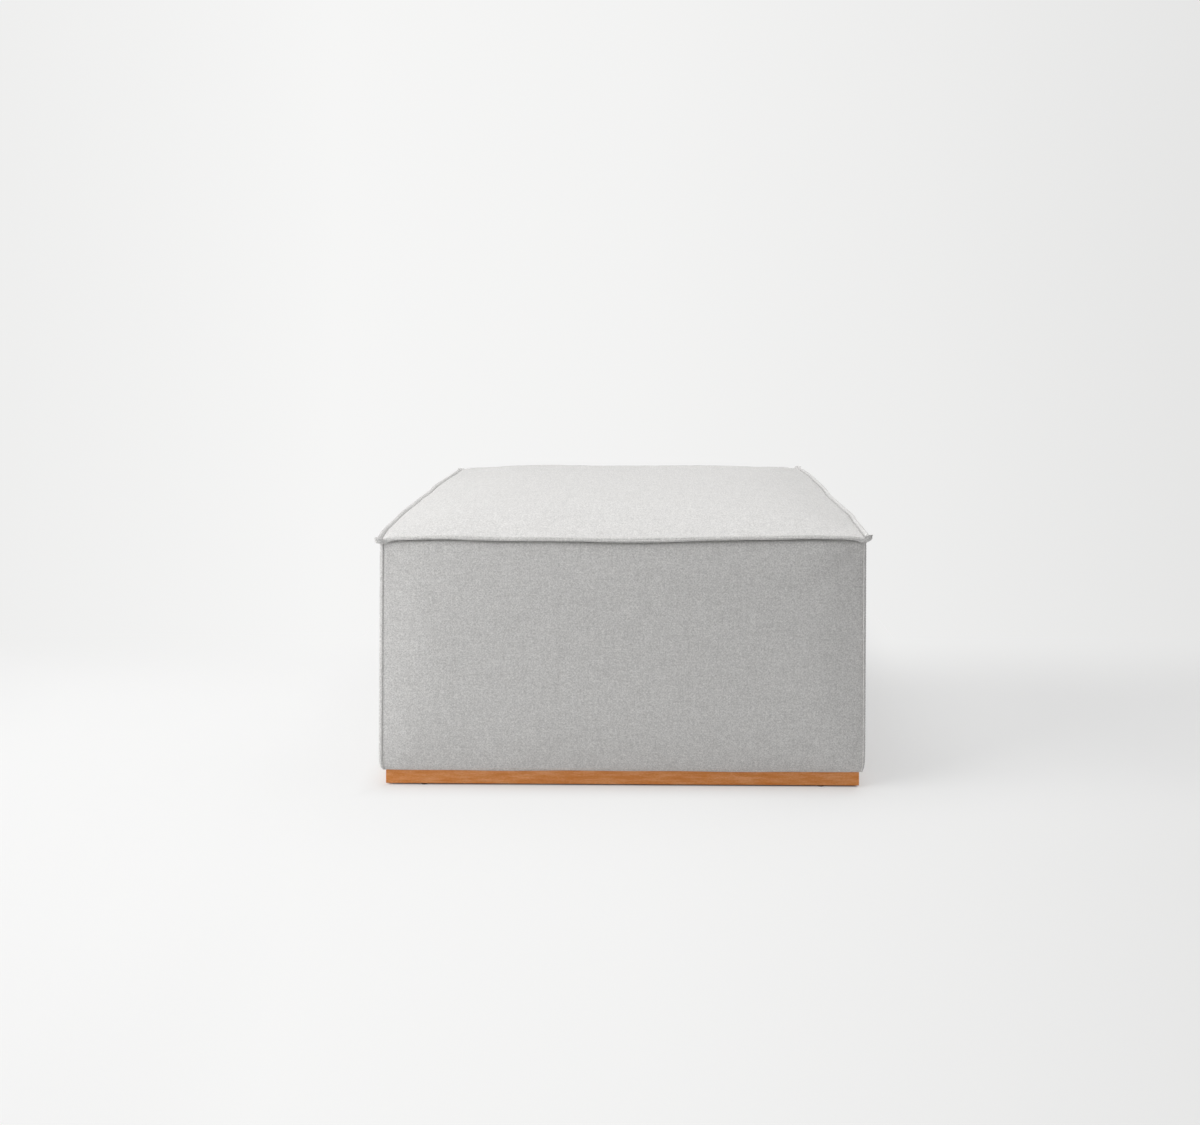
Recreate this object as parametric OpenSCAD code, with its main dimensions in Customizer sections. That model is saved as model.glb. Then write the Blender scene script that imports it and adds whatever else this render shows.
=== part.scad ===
// Upholstered pouf on a wooden plinth.
// A timber frame carries woven elastic webbing, a foam seat and padded sides. A sewn fabric cover with
// flanged seams encloses them, and a mitred plinth on nailed glides is screwed under the frame.
// Millimetres. The origin is on the floor under the middle, +Z is up and the front faces -Y.

/* [Body] */
// Width between the corner seams, left to right
body_w = 894; // [640:5:1200]
// Depth between the corner seams, front to back
body_d = 894; // [640:5:1200]
// Height of the top seam above the floor, before its dips
seam_h = 462; // [420:1:500]
// Rise of the rounded shoulders of the top above its seam
shoulder_h = 31; // [12:1:45]
// Distance from the seam over which the shoulders rise
shoulder_w = 64; // [45:1:100]
// Further rise of the top from its shoulders to its middle
dome_h = 4; // [0:1:25]
// Swell of each padded side beyond its corner seams
side_swell = 8; // [2:1:12]
// Distance from a seam over which the swell of a side rises
swell_w = 28; // [20:1:50]
// Dip of the top seam halfway between two corners
seam_sag = 4; // [0:1:6]
// Drop of the top seam at each corner
corner_drop = 2; // [0:1:6]

/* [Cover] */
// Thickness of the cover fabric
fabric_t = 1.5; // [0.8:0.1:2]
// Width of the flange sewn along the top seam
flange_w = 10; // [7:0.5:16]
// Thickness of the top flange
flange_t = 4; // [3:0.5:6]
// Upward tilt of the top flange, in degrees
flange_tilt = 10; // [0:1:25]
// Width of the corner flanges, pressed flat on one side and topstitched
corner_flange_w = 7; // [5:0.5:12]
// Thickness of the corner flanges
corner_flange_t = 2; // [1.5:0.5:4]
// Width of the hem turned under the frame
hem_w = 44; // [36:1:60]
// Height of the rounded lower edge of the sides
roll_h = 28; // [16:1:45]
// Distance that the rounded lower edge draws in
roll_in = 10; // [6:1:14]
// Thickness of the dust cover under the frame
dust_t = 0.5; // [0.3:0.1:1]

/* [Padding] */
// Thickness of the side pads at their seams
pad_t = 20; // [12:1:30]
// Thickness of the firm seat foam
seat_foam_h = 120; // [80:1:140]
// Thickness of the soft foam on the seat foam
topper_h = 20; // [10:1:35]
// Depth of the wadding at the top seam, before its dips
wadding_t = 12; // [10:1:20]

/* [Frame] */
// Thickness of the frame rails and studs
rail_t = 22; // [18:1:28]
// Height of the frame rails
rail_h = 70; // [45:1:75]
// Width of the square corner posts
post_w = 45; // [35:1:55]
// Width of the stud in the middle of each side
stud_w = 60; // [40:1:90]
// Thickness of the side panels
panel_t = 3; // [2.5:0.5:6]
// Thickness of the plywood gussets in the base corners
gusset_t = 15; // [12:1:18]
// Length of each short side of a gusset
gusset_leg = 140; // [130:1:170]
// Distance of each top brace from its inner corner, along the rails
brace_leg = 115; // [110:1:150]
// Height of the top braces
brace_h = 40; // [25:1:44]

/* [Webbing] */
// Width of each elastic strap
strap_w = 50; // [40:1:60]
// Thickness of each elastic strap
strap_t = 1.6; // [1:0.1:2.5]
// Distance between the middles of neighbouring straps
strap_pitch = 112; // [90:1:140]
// Distance of a strap's end from the outer face of its rail
strap_inset = 5; // [2:1:10]

/* [Plinth] */
// Height of the plinth boards
plinth_h = 26; // [24:1:60]
// Thickness of the plinth boards
plinth_t = 20; // [19:1:26]
// Distance of the plinth's face behind the corner seams
plinth_recess = 8; // [3:1:16]
// Radius of the rounded outer edges of the plinth
plinth_edge_r = 1.5; // [0.5:0.5:4]
// Thickness of the triangular blocks in the plinth corners
block_t = 20; // [16:1:22]

/* [Glides and screws] */
// Diameter of the glides
glide_d = 17; // [12:1:18]
// Height of the glides
glide_h = 3; // [2:0.5:6]
// Distance of the outer glides from the plinth's corners
glide_end = 70; // [50:1:120]
// Diameter of the nail of a glide
nail_d = 2.5; // [2:0.1:3]
// Length of the nail of a glide
nail_l = 14; // [8:1:18]
// Diameter of the plinth screws
screw_d = 4.5; // [3.5:0.1:5]
// Length of the plinth screws, head included
screw_l = 32; // [29:1:34]
// Diameter of the heads of the plinth screws
screw_head_d = 9; // [8:0.5:10]

/* [Hidden] */

// Sides, anticlockwise seen from above
SIDES = ["front", "right", "rear", "left"];
function turns(side) = search([side], SIDES)[0];

// Clearances between soft pieces, between crossed straps, and round a nail or screw
skin_gap = 0.3;
strap_gap = 0.3;
bore_gap = 0.05;
cut = 1; // how far a cutting shape runs past what it cuts

// Numbers of steps in the soft shapes
TOP_STEPS = 20;
SIDE_STEPS = 12;
FACE_STEPS = 7;
ROLL_STEPS = 3;
FLANGE_STEPS = 14;
round_fn = 48;

// Half sizes of the body at its corner seams
half_w = body_w / 2;
half_d = body_d / 2;
function runs_across(side) = turns(side) % 2 == 0;
function along_half(side) = runs_across(side) ? half_w : half_d;
function out_half(side) = runs_across(side) ? half_d : half_w;

// Levels, from the floor up
plinth_z = glide_h;
plinth_top = plinth_z + plinth_h;
hem_z = plinth_top + dust_t;
base_z = hem_z + fabric_t;
roll_z = hem_z + roll_h;
topper_top = seam_h - wadding_t;
topper_z = topper_top - topper_h;
foam_z = topper_z - seat_foam_h;
weave_lift = (strap_t + strap_gap) / 2;
frame_top = foam_z - skin_gap - weave_lift - strap_t;
post_top = frame_top - 2 * weave_lift;

// Depths of the layers behind the corner seams
pad_back = fabric_t + skin_gap + pad_t;
frame_back = pad_back + panel_t;
rail_back = frame_back + rail_t;
plinth_back = plinth_recess + plinth_t;

// Places of the screws that hold the plinth: clear of the hem and rails one way, and of a post the other
screw_margin = 2;
screw_back = max(hem_w, rail_back) + screw_head_d / 2 + screw_margin;
screw_run = rail_back + post_w + screw_head_d / 2 + 2 * screw_margin;
block_margin = 24;
block_leg = screw_back + screw_run - 2 * plinth_back + block_margin;
block_blunt = block_t / 2;
screw_z = plinth_top - block_t;
head_h = (screw_head_d - screw_d) / 2;

// Shape of the soft surfaces

// 1 in the middle and 0 at either end of a span, where a runs from -1 to 1
function swelling(a, half, run) = 1 - pow(abs(a), half / run);

// Share of a side's swell that is left at its rounded lower edge
roll_swell = 0.5;
// How sharply the corner drop of the seam fades along the seam
drop_w = 28;

// Height of the top seam at a, from -1 at one corner to 1 at the next
function seam_z(a, half) = seam_h - corner_drop * pow(abs(a), half / drop_w) - seam_sag * (1 - a * a);

// Height of the middle of the top fabric at a across and b along the seat
function top_z(a, b) =
    seam_h
    - corner_drop * pow(abs(a), half_w / drop_w) * pow(abs(b), half_d / drop_w)
    - seam_sag * ((1 - a * a) * pow(abs(b), half_d / shoulder_w)
        + (1 - b * b) * pow(abs(a), half_w / shoulder_w))
    + shoulder_h * swelling(a, half_w, shoulder_w) * swelling(b, half_d, shoulder_w)
    + dome_h * (1 - a * a) * (1 - b * b);

// Swell of a side at a along it and at height z
function side_out(a, z, half) =
    let (
        face = seam_z(a, half) - roll_z,
        v = 2 * (z - roll_z) / face - 1,
        rise = pow(abs(v), face / 2 / swell_w)
    )
    side_swell * swelling(a, half, swell_w) * (v > 0 ? 1 - rise : 1 - (1 - roll_swell) * rise);

// Steps from -1 to 1 that crowd together at both ends
function crowded(steps) = [for (i = [0:steps]) -cos(180 * i / steps)];

// Rows of a side from its top down: [height, angle round the rounded edge]
function face_rows(top) = [
    for (i = [0:FACE_STEPS]) [roll_z + (top - roll_z) * (1 + cos(180 * i / FACE_STEPS)) / 2, 0]
];
roll_rows = [for (i = [1:ROLL_STEPS]) [0, 90 * i / ROLL_STEPS]];

// Point of a side at a along it, on a row, sunk into the side by depth
function side_point(a, row, depth, half) =
    let (
        turn = row[1],
        normal = [cos(turn) * roll_h, sin(turn) * roll_in],
        inward = depth * normal / norm(normal),
        face = turn == 0,
        out = face ? 0 : -roll_in * (1 - cos(turn)),
        z = face ? row[0] : roll_z - roll_h * sin(turn),
        swell = side_out(a, face ? row[0] : roll_z, half) * (face ? 1 : cos(turn))
    )
    [out - inward[0], swell, z + (face ? 0 : inward[1])];

// Place in the model of a point s along a side, out from the middle and z high
function place(side, s, out, z) =
    let (angle = 90 * turns(side))
    [s * cos(angle) + out * sin(angle), s * sin(angle) - out * cos(angle), z];

// Place of a side point, drawn in at its ends so that neighbouring sides meet in a mitre
function side_place(side, a, p) =
    place(side, a * (along_half(side) + p[0] - skin_gap / 2), out_half(side) + p[0] + p[1], p[2]);

// Solids made from grids of points

function flat(rows) = [for (row = rows) each row];

function grid_faces(rows, cols) = [
    for (i = [0:rows - 2], j = [0:cols - 2], second = [false, true])
        let (p = i * cols + j)
        second ? [p, p + cols + 1, p + cols] : [p, p + 1, p + cols + 1]
];

// Point numbers round the edge of a grid, clockwise seen from its outer side
function grid_edge(rows, cols) = concat(
    [for (j = [0:cols - 2]) j],
    [for (i = [0:rows - 2]) i * cols + cols - 1],
    [for (j = [cols - 1:-1:1]) (rows - 1) * cols + j],
    [for (i = [rows - 1:-1:1]) i * cols]
);

// A skin between an outer and an inner grid
module skin(outer, inner) {
    rows = len(outer);
    cols = len(outer[0]);
    count = rows * cols;
    faces = grid_faces(rows, cols);
    edge = grid_edge(rows, cols);
    polyhedron(
        points = concat(flat(outer), flat(inner)),
        faces = concat(
            faces,
            [for (f = faces) [f[0] + count, f[2] + count, f[1] + count]],
            [for (k = [0:len(edge) - 1])
                let (p = edge[k], q = edge[(k + 1) % len(edge)])
                each [[q, p, p + count], [q, p + count, q + count]]]
        )
    );
}

// A block with a shaped face and a flat back, which has the point middle
module block_under(face, back, middle) {
    rows = len(face);
    cols = len(face[0]);
    count = rows * cols;
    edge = grid_edge(rows, cols);
    turns = len(edge);
    backs = flat(back);
    polyhedron(
        points = concat(flat(face), [for (p = edge) backs[p]], [middle]),
        faces = concat(
            grid_faces(rows, cols),
            [for (k = [0:turns - 1])
                let (m = (k + 1) % turns, p = edge[k], q = edge[m])
                each [[q, p, count + k], [q, count + k, count + m], [count + m, count + k, count + turns]]]
        )
    );
}

// A strip swept through rings of points, either closed on itself or with ends filled in
module swept(rings, closed) {
    turns = len(rings);
    sides = len(rings[0]);
    spans = closed ? turns : turns - 1;
    count = turns * sides;
    middles = closed ? [] : [for (r = [rings[0], rings[turns - 1]]) [for (p = r) 1] * r / sides];
    polyhedron(
        points = concat(flat(rings), middles),
        faces = concat(
            [for (i = [0:spans - 1], j = [0:sides - 1])
                let (n = ((i + 1) % turns) * sides, p = i * sides, k = (j + 1) % sides)
                each [[p + j, p + k, n + k], [p + j, n + k, n + j]]],
            closed ? [] : [for (j = [0:sides - 1])
                let (k = (j + 1) % sides, last = count - sides)
                each [[k, j, count], [last + j, last + k, count + 1]]]
        )
    );
}

// Section of a flange: a narrow sewn root, two full plies and a crease between their folded edges
function flange_section(width, thick) = [
    [skin_gap, -0.3 * thick],
    [0.35 * width, -0.5 * thick],
    [width - 0.35 * thick, -0.5 * thick],
    [width, -0.22 * thick],
    [width - 0.2 * thick, 0],
    [width, 0.22 * thick],
    [width - 0.35 * thick, 0.5 * thick],
    [0.35 * width, 0.5 * thick],
    [skin_gap, 0.3 * thick]
];

function turned(p, angle) = [p[0] * cos(angle) - p[1] * sin(angle), p[0] * sin(angle) + p[1] * cos(angle)];

module on_side(side) {
    rotate([0, 0, 90 * turns(side)]) children();
}

module at_corners(x, y) {
    for (sx = [-1, 1], sy = [-1, 1]) {
        translate([sx * x, sy * y, 0]) in_corner(sx, sy) children();
    }
}

// Mirrors a shape drawn for the rear right corner into the corner with signs sx and sy
module in_corner(sx, sy) {
    mirror([sx < 0 ? 1 : 0, 0, 0]) mirror([0, sy < 0 ? 1 : 0, 0]) children();
}

// Centres of the screws, at both ends of a plinth corner block
module at_screws() {
    at_corners(half_w, half_d) {
        translate([-screw_back, -screw_run, 0]) children();
        translate([-screw_run, -screw_back, 0]) children();
    }
}

// Plinth

// One mitred board, with its outer edges rounded
module plinth_board(side) {
    length = along_half(side) - plinth_recess;
    outer = out_half(side) - plinth_recess;
    color("peru") difference() {
        intersection() {
            on_side(side) translate([-length, 0, 0]) rotate([90, 0, 90]) linear_extrude(2 * length)
                plinth_section(outer);
            on_side(side) translate([0, 0, plinth_z]) linear_extrude(plinth_h)
                polygon([
                    [-length, -outer],
                    [length, -outer],
                    [length - plinth_t, -outer + plinth_t],
                    [-length + plinth_t, -outer + plinth_t]
                ]);
        }
        glide_nails(nail_d + 2 * bore_gap, nail_l + cut);
    }
}

module plinth_section(outer) {
    r = plinth_edge_r;
    translate([-outer, plinth_z]) difference() {
        square([plinth_t, plinth_h]);
        for (top = [0, 1]) {
            translate([0, top * plinth_h]) mirror([0, top]) difference() {
                translate([-cut, -cut]) square([r + cut, r + cut]);
                translate([r, r]) circle(r, $fn = round_fn);
            }
        }
    }
}

module at_glides() {
    for (side = SIDES, end = [-1, 1]) {
        on_side(side) translate([
            end * (along_half(side) - plinth_recess - glide_end),
            -(out_half(side) - plinth_recess - plinth_t / 2),
            0
        ]) children();
    }
}

module glide_nails(diameter, length) {
    at_glides() translate([0, 0, glide_h - cut]) cylinder(length + cut, d = diameter, $fn = round_fn);
}

module glides() {
    rim = min(1, glide_h / 3);
    color("dimgray") at_glides() {
        rotate_extrude($fn = round_fn) polygon([
            [0, 0],
            [glide_d / 2 - rim, 0],
            [glide_d / 2, rim],
            [glide_d / 2, glide_h],
            [nail_d / 2, glide_h],
            [nail_d / 2, glide_h + nail_l - nail_d],
            [0, glide_h + nail_l]
        ]);
    }
}

module plinth_blocks() {
    color("burlywood") difference() {
        at_corners(half_w - plinth_back, half_d - plinth_back)
            translate([0, 0, screw_z]) linear_extrude(block_t) corner_triangle(block_leg, block_blunt);
        at_screws() translate([0, 0, screw_z]) screw_hole();
    }
}

// Right triangle in a corner, with its two sharp ends cut blunt
module corner_triangle(leg, blunt) {
    polygon([[0, 0], [-leg, 0], [-leg, -blunt], [-blunt, -leg], [0, -leg]]);
}

// Clearance hole with its countersink
module screw_hole() {
    translate([0, 0, -cut]) cylinder(block_t + 2 * cut, d = screw_d + 4 * bore_gap, $fn = round_fn);
    translate([0, 0, -cut]) cylinder(cut + bore_gap, d = screw_head_d + 4 * bore_gap, $fn = round_fn);
    cylinder(
        head_h + 2 * bore_gap,
        d1 = screw_head_d + 4 * bore_gap,
        d2 = screw_d + 4 * bore_gap,
        $fn = round_fn
    );
}

module plinth_screws() {
    recess = head_h * 0.6;
    color("silver") at_screws() translate([0, 0, screw_z]) difference() {
        rotate_extrude($fn = round_fn) polygon([
            [0, 0],
            [screw_head_d / 2, 0],
            [screw_d / 2, head_h],
            [screw_d / 2, screw_l - screw_d],
            [0, screw_l]
        ]);
        for (turn = [0, 90]) {
            rotate([0, 0, turn]) translate([0, 0, recess / 2 - cut / 2])
                cube([screw_head_d * 0.5, screw_head_d * 0.12, recess + cut], center = true);
        }
    }
}

// Frame

// One rail of a ring: front and rear rails run through, and side rails fit between them
module ring_rail(side, z) {
    length = along_half(side) - (runs_across(side) ? frame_back : rail_back);
    on_side(side) translate([-length, -(out_half(side) - frame_back), z]) cube([2 * length, rail_t, rail_h]);
}

module base_rail(side) {
    color("wheat") ring_rail(side, base_z);
}

module top_rail(side) {
    color("wheat") ring_rail(side, frame_top - rail_h);
}

module base_cross_rail() {
    length = half_d - rail_back;
    color("wheat") translate([-rail_t / 2, -length, base_z]) cube([rail_t, 2 * length, rail_h]);
}

module corner_posts() {
    color("wheat") at_corners(half_w - rail_back, half_d - rail_back)
        translate([-post_w, -post_w, base_z]) cube([post_w, post_w, post_top - base_z]);
}

module studs() {
    foot = base_z + rail_h;
    color("wheat") for (side = SIDES) {
        on_side(side) translate([-stud_w / 2, -(out_half(side) - frame_back), foot])
            cube([stud_w, rail_t, frame_top - rail_h - foot]);
    }
}

// Triangles that brace the base ring and take the plinth screws, notched round the posts
module base_gussets() {
    color("burlywood") difference() {
        at_corners(half_w - rail_back, half_d - rail_back)
            translate([0, 0, base_z]) linear_extrude(gusset_t) difference() {
                corner_triangle(gusset_leg, gusset_t);
                translate([-post_w, -post_w]) square(post_w + cut);
            }
        at_screws() translate([0, 0, base_z - cut])
            cylinder(gusset_t + 2 * cut, d = screw_d + 2 * bore_gap, $fn = round_fn);
    }
}

// Diagonal braces across the corners of the top ring, below the webbing
module top_braces() {
    slant = rail_t * sqrt(2);
    color("wheat") at_corners(half_w - rail_back, half_d - rail_back)
        translate([0, 0, frame_top - rail_h]) linear_extrude(brace_h)
            polygon([
                [-brace_leg, 0],
                [0, -brace_leg],
                [0, -brace_leg - slant],
                [-brace_leg - slant, 0]
            ]);
}

// Front and rear panels lap over the ends of the side panels
module frame_panel(side) {
    length = along_half(side) - (runs_across(side) ? pad_back : frame_back);
    color("sienna") on_side(side) translate([-length, -(out_half(side) - pad_back), base_z])
        cube([2 * length, panel_t, frame_top - base_z]);
}

// Webbing

// Middles of the straps across a span: evenly spaced at about their pitch, the outer ones beside the posts.
// Their number is odd, so that the weave is the same from both ends.
function strap_places(half) =
    let (
        outer = half - rail_back - post_w - strap_w / 2,
        each_way = max(1, round(outer / strap_pitch))
    )
    [for (i = [-each_way:each_way]) i * outer / each_way];

// Underside of a strap along its length, over and under the straps that it crosses
function strap_line(end, landing, crossings, first_over) = concat(
    [[-end, 0], [-landing, 0]],
    [for (i = [0:len(crossings) - 1])
        let (lift = (i + first_over) % 2 == 0 ? weave_lift : -weave_lift)
        each [[crossings[i] - strap_w / 2, lift], [crossings[i] + strap_w / 2, lift]]],
    [[landing, 0], [end, 0]]
);

// Straps that run along one pair of sides, and lie over the others where start tells
module webbing(side, start) {
    end = along_half(side) - frame_back - strap_inset;
    landing = along_half(side) - rail_back;
    crossings = strap_places(along_half(side));
    rows = strap_places(out_half(side));
    for (k = [0:len(rows) - 1]) {
        line = strap_line(end, landing, crossings, (k + start) % 2);
        upper = [for (i = [len(line) - 1:-1:0]) line[i] + [0, strap_t]];
        on_side(side) translate([0, rows[k] + strap_w / 2, frame_top]) rotate([90, 0, 0])
            linear_extrude(strap_w) polygon(concat(line, upper));
    }
}

// Seat and padding

module seat_block(z, height) {
    translate([-(half_w - pad_back), -(half_d - pad_back), z])
        cube([body_w - 2 * pad_back, body_d - 2 * pad_back, height]);
}

module seat_foam() {
    color("khaki") seat_block(foam_z, seat_foam_h);
}

module seat_topper() {
    color("lightyellow") seat_block(topper_z, topper_h);
}

// Grid over the top, a depth below the fabric's middle and an inset inside its seam
function top_grid(depth, inset) = [
    for (b = crowded(TOP_STEPS)) [
        for (a = crowded(TOP_STEPS))
            [a * (half_w - inset), -b * (half_d - inset), top_z(a, b) - depth]
    ]
];

module crown_wadding() {
    face = top_grid(fabric_t / 2 + skin_gap, fabric_t + skin_gap);
    back = [for (row = face) [for (p = row) [p[0], p[1], topper_top]]];
    color("white") block_under(face, back, [0, 0, topper_top]);
}

module side_pad(side) {
    depth = fabric_t + skin_gap;
    rows = concat(face_rows(topper_top), roll_rows);
    grid = [for (row = rows) [for (a = crowded(SIDE_STEPS)) side_point(a, row, depth, along_half(side))]];
    steps = crowded(SIDE_STEPS);
    face = [for (points = grid) [for (j = [0:SIDE_STEPS]) side_place(side, steps[j], points[j])]];
    back = [for (points = grid) [
        for (j = [0:SIDE_STEPS]) side_place(side, steps[j], [-pad_back, 0, points[j][2]])
    ]];
    middle = side_place(side, 0, [-pad_back, 0, (base_z + topper_top) / 2]);
    color("khaki") block_under(face, back, middle);
}

// Cover

module dust_cover() {
    edge = plinth_recess + plinth_t / 2;
    color("black") difference() {
        translate([-(half_w - edge), -(half_d - edge), plinth_top])
            cube([body_w - 2 * edge, body_d - 2 * edge, dust_t]);
        at_screws() translate([0, 0, plinth_top - cut])
            cylinder(dust_t + 2 * cut, d = screw_d + 4 * bore_gap, $fn = round_fn);
    }
}

module cover_top() {
    color("gainsboro") skin(top_grid(-fabric_t / 2, 0), top_grid(fabric_t / 2, 0));
}

// One side of the cover: its face, its rounded lower edge and the hem turned under the frame
module cover_side(side) {
    half = along_half(side);
    edge_gap = fabric_t / 2 + skin_gap;
    steps = crowded(SIDE_STEPS);
    rows = concat([[0, 0]], face_rows(topper_top), roll_rows);
    function layer(depth) = concat(
        [for (i = [0:len(rows) - 1]) [
            for (a = steps)
                let (row = i == 0 ? [seam_z(a, half) - edge_gap, 0] : rows[i])
                side_place(side, a, side_point(a, row, depth, half))
        ]],
        [[for (a = steps) side_place(side, a, [-hem_w, 0, hem_z + depth])]]
    );
    color("silver") skin(layer(0), layer(fabric_t));
}

// Top flange: two plies that stand out round the top seam and meet in mitres
module top_flange() {
    section = [for (p = flange_section(flange_w, flange_t)) turned(p, flange_tilt)];
    steps = crowded(FLANGE_STEPS);
    rings = [
        for (side = SIDES, i = [0:FLANGE_STEPS - 1])
            let (half = along_half(side), a = steps[i], mitre = i == 0 ? 1 : 0)
            [for (p = section) place(
                side,
                a * half - mitre * p[0],
                out_half(side) + p[0],
                seam_z(a, half) + p[1]
            )]
    ];
    color("lightgray") swept(rings, true);
}

// Section of a corner flange: [distance from the corner along the side, height above the side].
// Its rounded fold stands out past the corner, and its other edge is the sewn one.
function pressed_section(width, thick) = [
    [width, skin_gap],
    [-0.5 * thick, skin_gap],
    [-thick, 0.4 * thick],
    [-0.7 * thick, 0.85 * thick],
    [0, thick],
    [0.45 * width, 1.15 * thick],
    [width - 0.3 * thick, 0.9 * thick],
    [width, 0.5 * thick]
];

// Corner flange, pressed onto the left end of a side from its top seam down to its rounded lower edge
module corner_flange(side) {
    half = along_half(side);
    section = pressed_section(corner_flange_w, corner_flange_t);
    top = seam_z(1, half) - flange_t / 2 - skin_gap;
    rows = concat(
        [[top, 0]],
        face_rows(topper_top),
        [for (i = [0:ROLL_STEPS - 2]) roll_rows[i]]
    );
    rings = [
        for (row = rows)
            let (
                lean = [cos(row[1]) * roll_h, -sin(row[1]) * roll_in],
                normal = lean / norm(lean)
            )
            [for (p = section)
                let (spot = side_point(-1 + max(p[0], 0) / half, row, 0, half))
                place(
                    side,
                    p[0] - half - spot[0],
                    out_half(side) + spot[0] + spot[1] + p[1] * normal[0],
                    spot[2] + p[1] * normal[1]
                )]
    ];
    color("lightgray") swept(rings, false);
}

glides();
plinth_board("front");  // plinth_front
plinth_board("right");  // plinth_right
plinth_board("rear");  // plinth_rear
plinth_board("left");  // plinth_left
plinth_blocks();
plinth_screws();
base_rail("front");  // base_rail_front
base_rail("right");  // base_rail_right
base_rail("rear");  // base_rail_rear
base_rail("left");  // base_rail_left
base_cross_rail();
base_gussets();
corner_posts();
studs();
top_rail("front");  // top_rail_front
top_rail("right");  // top_rail_right
top_rail("rear");  // top_rail_rear
top_rail("left");  // top_rail_left
top_braces();
frame_panel("front");  // panel_front
frame_panel("right");  // panel_right
frame_panel("rear");  // panel_rear
frame_panel("left");  // panel_left
color("tan") webbing("front", 0);  // webbing_across
color("tan") webbing("right", 1);  // webbing_lengthwise
seat_foam();
seat_topper();
crown_wadding();
side_pad("front");  // side_pad_front
side_pad("right");  // side_pad_right
side_pad("rear");  // side_pad_rear
side_pad("left");  // side_pad_left
dust_cover();
cover_top();
cover_side("front");  // cover_front
cover_side("right");  // cover_right
cover_side("rear");  // cover_rear
cover_side("left");  // cover_left
top_flange();
corner_flange("front");  // corner_flange_front_left
corner_flange("right");  // corner_flange_front_right
corner_flange("rear");  // corner_flange_rear_right
corner_flange("left");  // corner_flange_rear_left
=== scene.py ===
"""Looks of a square upholstered pouf.

A sewn grey cover over foam and wadding stands on a recessed wooden plinth.
"""

import math

import bmesh
import bpy
import numpy as np
from mathutils import Matrix, Vector, noise


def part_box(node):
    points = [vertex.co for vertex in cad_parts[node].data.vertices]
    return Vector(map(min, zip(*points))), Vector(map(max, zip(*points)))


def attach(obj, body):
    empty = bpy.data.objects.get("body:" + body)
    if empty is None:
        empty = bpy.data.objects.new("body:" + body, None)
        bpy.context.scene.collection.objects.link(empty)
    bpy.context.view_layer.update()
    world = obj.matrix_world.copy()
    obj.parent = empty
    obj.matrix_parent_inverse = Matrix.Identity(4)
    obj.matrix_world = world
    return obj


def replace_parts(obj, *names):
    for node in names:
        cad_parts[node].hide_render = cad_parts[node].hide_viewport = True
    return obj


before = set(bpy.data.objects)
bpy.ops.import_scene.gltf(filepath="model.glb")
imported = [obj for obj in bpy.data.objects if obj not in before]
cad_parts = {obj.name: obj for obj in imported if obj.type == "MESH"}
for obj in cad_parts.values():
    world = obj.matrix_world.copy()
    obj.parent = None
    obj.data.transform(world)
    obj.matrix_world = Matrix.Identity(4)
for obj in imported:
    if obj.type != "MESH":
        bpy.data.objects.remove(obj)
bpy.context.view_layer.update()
scene = bpy.context.scene
MM = 0.001

# Sizes of the sewn body, as in the part's source. HALF is half its width, at the seams.
HALF = 447 * MM
SEAM_H = 463.2 * MM
# The crown: shoulders that rise from the seam, with a shallow dome between them
SHOULDER_H = 24 * MM
SHOULDER_W = 80 * MM
DOME_H = 6 * MM
EDGE_RISE = 1.6 * MM
# The sides' swell, and how quickly it rises from the seams
SIDE_SWELL = 8 * MM
SWELL_W = 28 * MM
TUCK_W = 4 * MM
# How far the top seam drops at the corners
CORNER_DROP = 5 * MM
DROP_W = 20 * MM
# The roll under each side and the hem behind it
ROLL_H = 28 * MM
ROLL_IN = 6 * MM
ROLL_SWELL = 0.5
HEM_Z = 29.5 * MM
HEM_W = 44 * MM
ROLL_Z = HEM_Z + ROLL_H
FABRIC_T = 1.5 * MM
SKIN_GAP = 0.4 * MM
FLANGE_W = 10 * MM
FLANGE_T = 3.0 * MM
TOPPER_TOP = 450 * MM
PAD_BACK = 21.8 * MM

# Numbers of cells in the grid that is simulated. The finished panels have twice as many each way.
ACROSS = 90
FACE_ROWS = 40
ROLL_ROWS = 5
HEM_ROWS = 4

# Distances of extra grid lines from a seam, where the cloth turns sharply into it
NEAR_SEAM = np.array([0.8, 1.7, 2.8]) * MM

SIDES = ["front", "right", "rear", "left"]
PANELS = ["top"] + SIDES

# How far each side's top seam bows out, as places along it from -1 to 1 with millimetres
SEAM_BOW = {
    "front": [
        (-1, 0), (-0.75, 5.2), (-0.5, 9), (-0.25, 11.2), (0, 12), (0.25, 11.2), (0.5, 9),
        (0.75, 5.2), (1, 0),
    ],
    "right": [
        (-1, 0), (-0.92, -0.6), (-0.8, 1.6), (-0.67, 4.0), (-0.55, 8.4), (-0.42, 9.2), (-0.29, 6.8),
        (-0.17, 4.2), (0, 4.6), (0.15, 7.8), (0.33, 10.4), (0.51, 10), (0.67, 9.0), (0.85, 5.0),
        (1, 0),
    ],
    "rear": [(-1, 0), (-0.75, 4.6), (-0.5, 7), (0, 8), (0.5, 7), (0.75, 4.6), (1, 0)],
    "left": [
        (-1, 0), (-0.87, -3.0), (-0.72, -2.0), (-0.52, 3.6), (-0.3, 7.0), (-0.1, 6.6), (0.17, 7.2),
        (0.4, 7.7), (0.65, 7.8), (0.78, 6.0), (0.9, 2.6), (1, 0),
    ],
}
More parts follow.
